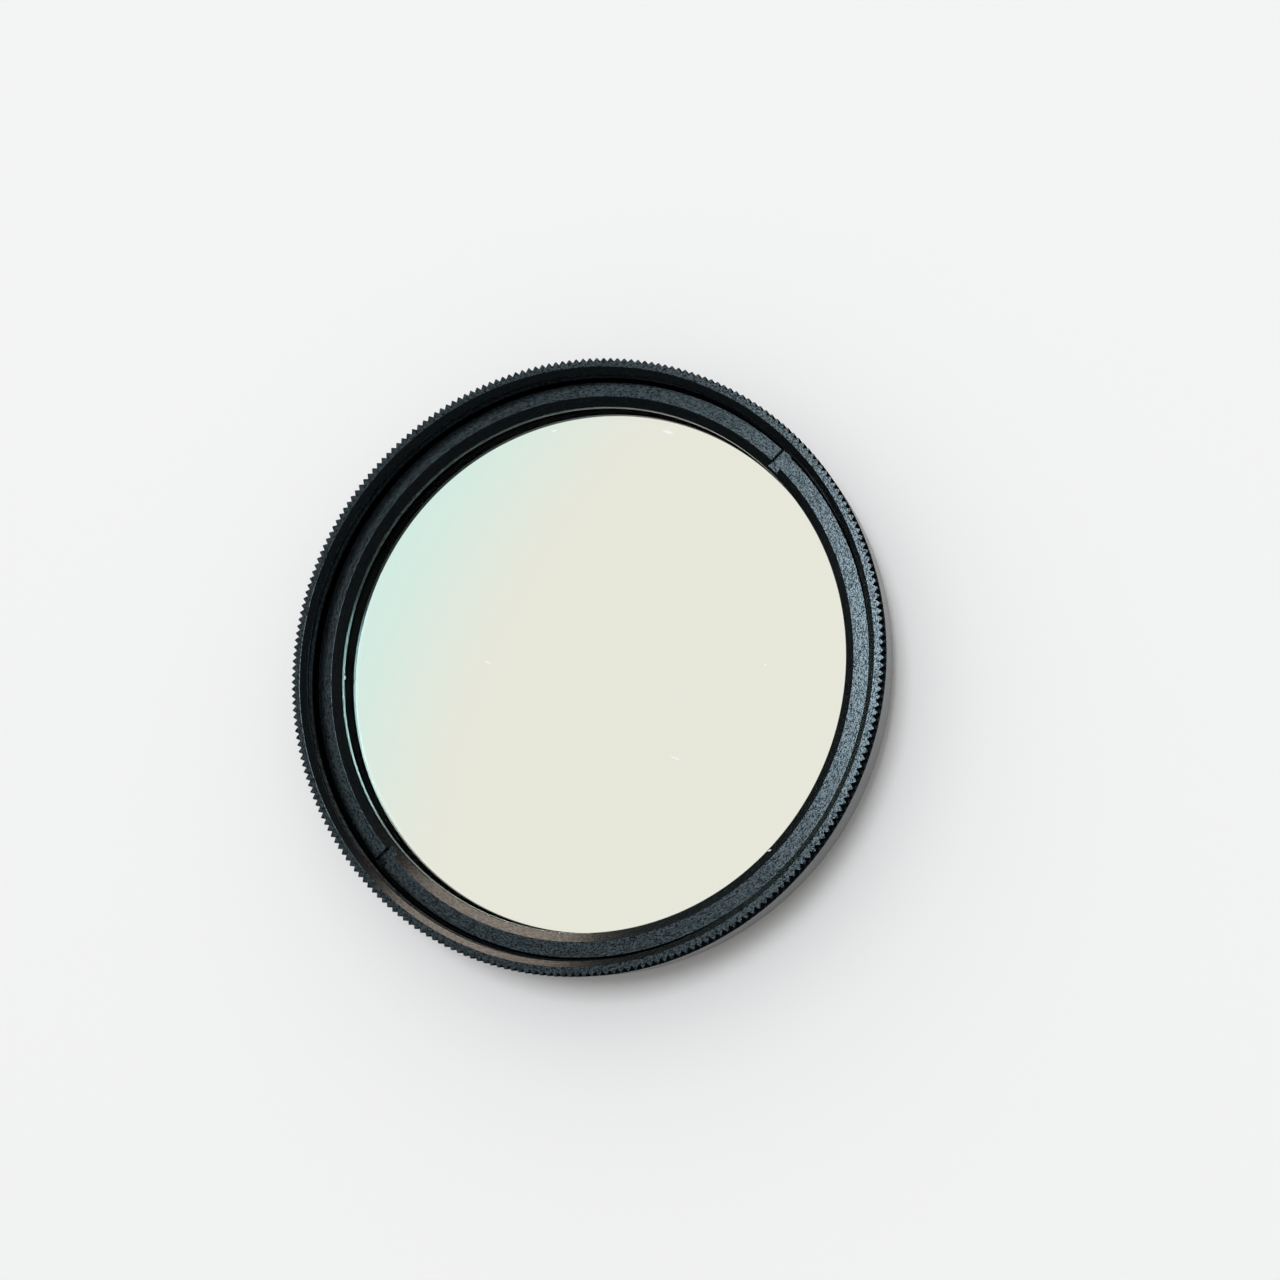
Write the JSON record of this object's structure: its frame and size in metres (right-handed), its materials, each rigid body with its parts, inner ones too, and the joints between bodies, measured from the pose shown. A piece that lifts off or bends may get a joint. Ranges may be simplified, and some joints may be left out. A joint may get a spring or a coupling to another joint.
{
  "type": "screw-in lens filter",
  "caption": "Round screw-in optical filter: a coated glass disc held in a knurled black metal ring by a slotted retaining ring, with a thread at the front and at the rear.",
  "frame": {"origin": "on the optical axis, at the end of the rear thread", "axes": "+Z along the optical axis, towards the front of the filter; +X through one of the spanner slots"},
  "size_m": [0.0494, 0.0494, 0.007],
  "materials": {
    "cell_anodised": "black anodised, satin",
    "coated_glass": "polished, with a reflecting coating",
    "ring_anodised": "black anodised, satin"
  },
  "bodies": {
    "root": {"filter_cell": "cell_anodised", "filter_glass": "coated_glass", "retaining_ring": "ring_anodised"}
  },
  "joints": []
}
